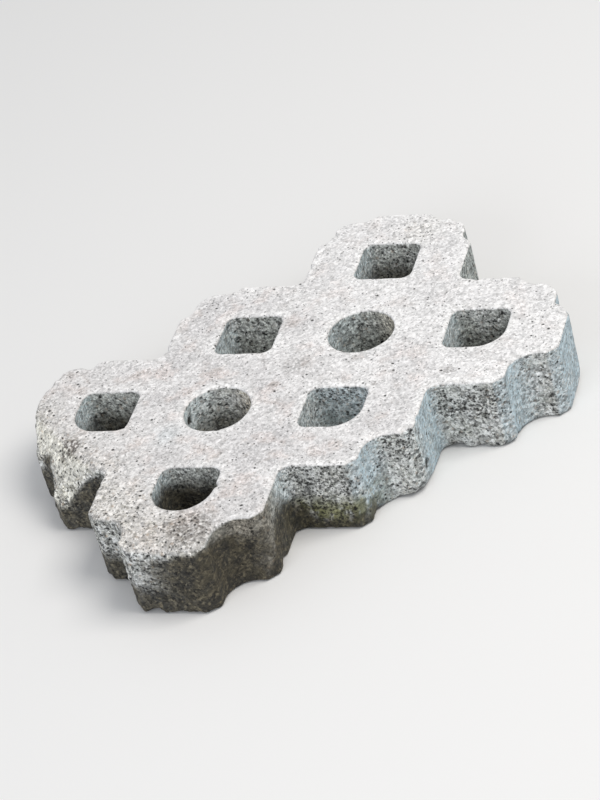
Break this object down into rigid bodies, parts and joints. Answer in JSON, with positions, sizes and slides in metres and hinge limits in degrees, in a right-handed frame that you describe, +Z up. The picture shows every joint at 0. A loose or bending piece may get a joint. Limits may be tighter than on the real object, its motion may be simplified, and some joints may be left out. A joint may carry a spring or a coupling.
{
  "type": "precast concrete grass-grid slab",
  "caption": "Open concrete paving slab with square and round openings and a stepped outline whose noses fit the bites of the next slab; for banks, verges and drain mouths.",
  "frame": {"origin": "middle of the outline's box, on the underside", "axes": "+X along the slab towards the end with noses, +Y across it towards the side with noses, +Z up"},
  "size_m": [0.6129, 0.4129, 0.096],
  "materials": {
    "cast_concrete": "vibrated and pressed concrete, weathered, with fine pits and worn edges"
  },
  "bodies": {
    "root": {"grid_slab": "cast_concrete"}
  },
  "joints": []
}
